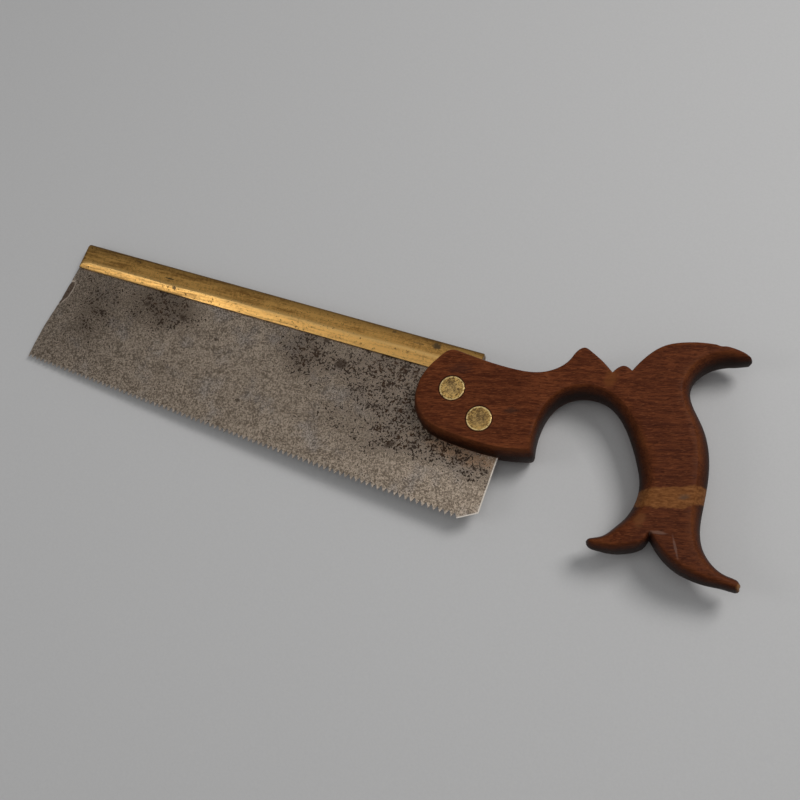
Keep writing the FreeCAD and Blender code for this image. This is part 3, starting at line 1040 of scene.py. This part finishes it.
def make_plate_outline(draw):
    """The plate's edge as (upper point, lower point) pairs, anticlockwise from the toe."""
    tips, gullets = make_teeth(draw)
    half = PLATE_THICKNESS / 2.0
    pairs = [tips[0]]
    for tip, gullet in zip(tips[1:], gullets):
        pairs += [gullet, tip]
    corners = [(HEEL_X, HEEL_CLIP_Y), (HEEL_X, PLATE_TAIL[1])]
    corners += [(PLATE_TAIL[0], PLATE_SHOULDER_Y), (BACK_REAR_X - 1.0, PLATE_SHOULDER_Y)]
    corners += [(BACK_REAR_X - 1.0, PLATE_TOP_Y), TOE_EDGE[0]]
    toe_x, toe_y = zip(*reversed(TOE_EDGE))
    for k in range(1, TOE_STEPS):
        y = PLATE_TOP_Y * (1.0 - k / TOE_STEPS)
        x = float(np.interp(y, toe_y, toe_x))
        x += TOE_RAGGEDNESS * max(0.0, draw.uniform(-0.4, 1.0))
        for nick_y, half_width, depth in TOE_NICKS:
            x += depth * math.exp(-((y - nick_y) / half_width) ** 2)
        corners.append((x, y))
    pairs += [((x, y, half), (x, y, -half)) for x, y in corners]
    return pairs, len(tips)


def in_a_hole(point):
    return any((point - Vector(c)).length < PLATE_HOLE_RADIUS for c in BOLT_CENTRES.values())


def plate_side(points, level, loops, gullet_line, first):
    """One side of the plate: its corners, its triangles, and which corner each outline point became."""
    edges = gullet_line + [edge for loop in loops[1:] for edge in closed_edges(loop)]
    flat = [Vector(p[:2]) for p in points]
    coords, _, triangles, origins, _, _ = delaunay_2d_cdt(flat, edges, [loops[0]], 1, 1e-6)
    corner_of = {o: first + k for k, origin in enumerate(origins) for o in origin}
    verts = [(*c, points[origin[0]][2] if origin else level) for c, origin in zip(coords, origins)]
    faces = []
    for triangle in triangles:
        middle = sum((coords[i] for i in triangle), Vector((0.0, 0.0))) / 3.0
        if not in_a_hole(middle):
            faces.append([first + i for i in triangle])
    return verts, faces, corner_of


def make_plate(material):
    pairs, tip_count = make_plate_outline(random.Random(PLATE_SEED))
    rings = [circle(centre, PLATE_HOLE_RADIUS, HOLE_SEGMENTS) for centre in BOLT_CENTRES.values()]
    starts = [len(pairs) + HOLE_SEGMENTS * n for n in range(len(rings))]
    loops = [list(range(len(pairs)))] + [list(range(start, start + HOLE_SEGMENTS)) for start in starts]
    gullet_line = [(2 * i + 1, 2 * i + 3) for i in range(tip_count - 2)]
    verts, faces, sides = [], [], []
    for number, level in enumerate((PLATE_THICKNESS / 2.0, -PLATE_THICKNESS / 2.0)):
        points = [pair[number] for pair in pairs] + [(x, y, level) for ring in rings for x, y in ring]
        side_verts, side_faces, corner_of = plate_side(points, level, loops, gullet_line, len(verts))
        verts += side_verts
        faces += [face if level > 0.0 else face[::-1] for face in side_faces]
        sides.append(corner_of)
    upper, lower = sides
    for loop in loops:
        faces += [[upper[a], lower[a], lower[b], upper[b]] for a, b in closed_edges(loop)]
    plate = link_piece("plate_steel", verts, faces, None, PLATE_SHARP_ANGLE)
    finish_piece(plate, material, "saw", "steel", "saw_plate")


# ---- brass back

# The bevel's height, and how far its ridge stands above or below that along the back (mm)
BEVEL_HEIGHT = 4.2
BEVEL_RISE = [(4.0, -0.6), (60.0, -0.3), (120.0, 0.6), (160.0, 1.2), (200.0, 1.6), (239.0, 1.6)]

# The strip's lips and slot, its roundings, and how far the bevel runs out at the toe (mm)
LIP_HALF_WIDTH = 1.6
SLOT_DEPTH = 10.4
TOP_RADIUS = 1.4
RUN_OUT = 7.5
TOE_ROUND = 1.7
TOE_TARNISH = 2.4
REAR_ROUND = 0.3

# Small waves of the bevel's ridge: height and length scale (mm), and where they reach full height
RIDGE_WAVES = [(0.16, 21.0), (0.10, 8.5), (0.05, 3.1)]
WAVE_RUN_IN = 12.0

BACK_STATIONS = 260
STATION_CROWDING = 0.72
BACK_SEED = 11


def back_section(x, draw_wave):
    """The folded strip's section at x, as (y, h, wear and highlight, grime and shade), anticlockwise from
    the slot's mouth.
    """
    from_toe = x - BACK_FRONT_X
    share = min(1.0, from_toe / RUN_OUT)
    sweep = math.sin(share * math.pi / 2.0)
    side = BACK_WIDTH / 2.0
    bevel = BEVEL_HEIGHT + float(np.interp(x, *zip(*BEVEL_RISE)))
    ridge = 1.2 + (bevel - 1.2) * sweep + draw_wave
    lip = side - 0.25 - (side - 0.25 - LIP_HALF_WIDTH) * sweep
    from_rear = BACK_REAR_X - x
    end_round = TOE_ROUND if from_toe < from_rear else REAR_ROUND
    end = max(0.0, 1.0 - min(from_toe, from_rear) / end_round)
    pinch = (1.0 - math.sqrt(1.0 - min(1.0, end) ** 2)) * end_round
    tarnish = 0.6 * end
    if from_toe < from_rear:
        tarnish = 0.9 * max(0.0, 1.0 - from_toe / TOE_TARNISH)
    side -= pinch
    lip = min(lip, side - 0.1)
    top = BACK_HEIGHT - pinch
    slot = PLATE_THICKNESS / 2.0 + 0.002
    # Per point, the third number is worn brass with a painted highlight, most on the bevel's ridge; the
    # fourth is painted shade, full in the slot, part at the lip's foot and over the top rounding, joined
    # by tarnish at the ends.
    half = [(0.0, slot, 0.0, 1.0), (0.0, lip - 0.12, 0.2, 0.4), (0.12, lip, 0.6, 0.0)]
    for k in (1, 2, 3):
        half.append((0.12 + (ridge - 0.3) * k / 4, lip + (side - lip - 0.05) * k / 4, 0.25, 0.0))
    half += [(ridge - 0.12, side - 0.05, 1.0, 0.0), (ridge + 0.12, side, 1.0, 0.0)]
    for k in (1, 2, 3, 4):
        half.append((ridge + (top - TOP_RADIUS - ridge) * k / 5, side, 0.0, 0.30 * (k > 3)))
    for k in range(7):
        a = math.pi / 2.0 * k / 6
        y = top - TOP_RADIUS + TOP_RADIUS * math.sin(a)
        h = side - TOP_RADIUS + TOP_RADIUS * math.cos(a)
        half.append((y, h, 0.0, 0.45 + 0.50 * math.sin(a)))
    half = [(y, h, wear_and_highlight, max(grime_and_shade, tarnish)) for y, h, wear_and_highlight, grime_and_shade in half]
    other = [(y, -h, w, g) for y, h, w, g in reversed(half)]
    slot_top = [(SLOT_DEPTH, -slot, 0.0, 1.0), (SLOT_DEPTH, slot, 0.0, 1.0)]
    return half + other + slot_top


def make_back(material):
    draw = random.Random(BACK_SEED)
    phases = [draw.uniform(0.0, 2.0 * math.pi) for _ in RIDGE_WAVES]
    verts, faces, wear_and_highlight, grime_and_shade = [], [], [], []
    length = BACK_REAR_X - BACK_FRONT_X
    for i in range(BACK_STATIONS + 1):
        t = i / BACK_STATIONS
        # stations crowd together at both ends, where the strip is rounded
        x = BACK_FRONT_X + length * (t - STATION_CROWDING * math.sin(2.0 * math.pi * t) / (2.0 * math.pi))
        wave = sum(size * math.sin(x / scale + phase) for (size, scale), phase in zip(RIDGE_WAVES, phases))
        section = back_section(x, wave * min(1.0, (x - BACK_FRONT_X) / WAVE_RUN_IN))
        for y, h, w, g in section:
            verts.append((x, BACK_BOTTOM_Y + y, h))
            wear_and_highlight.append(w)
            grime_and_shade.append(g)
    size = len(section)
    for first in range(0, BACK_STATIONS * size, size):
        for k in range(size):
            j = (k + 1) % size
            faces.append([first + k, first + size + k, first + size + j, first + j])
    faces.append(list(range(size)))
    faces.append([BACK_STATIONS * size + k for k in reversed(range(size))])
    back = link_piece("back_brass", verts, faces, {"wear_and_highlight": wear_and_highlight, "grime_and_shade": grime_and_shade}, BACK_SHARP_ANGLE)
    finish_piece(back, material, "saw", "brass", "brass_back")


# ---- saw screws


def make_bolt(place_name, material):
    centre = BOLT_CENTRES[place_name]
    rim = HEAD_RIM
    under = HALF - HEAD_THICKNESS
    profile = [(0, under), (HEAD_RADIUS - 0.1, under), (HEAD_RADIUS, under + 0.1)]
    profile += [(HEAD_RADIUS, HALF - rim), (HEAD_RADIUS - 0.35 * rim, HALF - 0.3 * rim)]
    profile += [(HEAD_RADIUS - rim, HALF), (HEAD_RADIUS - 2.0 * rim, HALF), (0, HALF)]
    bolt = lathe("bolt_" + place_name, centre, profile)
    neck = square(centre, NECK_SIDE, (under - NECK_LENGTH, under + 0.5), "neck")
    profile = [(0, -HALF), (SHANK_RADIUS - 0.3, -HALF), (SHANK_RADIUS, 0.3 - HALF), (SHANK_RADIUS, under)]
    shank = lathe("shank", centre, [*profile, (0, under)], SHANK_SEGMENTS)
    combine(bolt, [neck, shank], "UNION", SCREW_SHARP_ANGLE)
    finish_piece(bolt, material, place_name + "_bolt", "screw_brass", "saw_bolt_" + place_name)


def make_nut(place_name, material):
    centre = BOLT_CENTRES[place_name]
    top = NUT_THICKNESS - HALF - NUT_FACE_GAP
    profile = [(0, -HALF), (HEAD_RADIUS - NUT_RIM, -HALF), (HEAD_RADIUS, NUT_RIM - HALF)]
    nut = lathe("nut_" + place_name, centre, [*profile, (HEAD_RADIUS, top), (0, top)])
    hole = rod("thread_bore", centre, SHANK_RADIUS + 0.05, -HALF - 1.0, top + 1.0, SHANK_SEGMENTS)
    x, y = centre
    half = NUT_SLOT_WIDTH / 2.0
    cut = (-HALF - 1.0, NUT_SLOT_DEPTH - HALF)
    slot = block("slot_cutter", (x - 8.0, x + 8.0), (y - half, y + half), cut)
    combine(nut, [hole, slot], "DIFFERENCE", SCREW_SHARP_ANGLE)
    finish_piece(nut, material, place_name + "_nut", "screw_brass", "split_nut_" + place_name)


# ---- build

make_camera()
make_world()
for light_values in LIGHTS:
    make_area_light(*light_values)
make_floor()

make_handle(make_wood())
make_plate(make_steel())
make_back(make_brass("aged_brass", (1.0, 0.56, 0.160), (0.37, 0.185, 0.050), 0.94))
screw_brass = make_screw_brass()
for place_name in BOLT_CENTRES:
    make_bolt(place_name, screw_brass)
    make_nut(place_name, screw_brass)
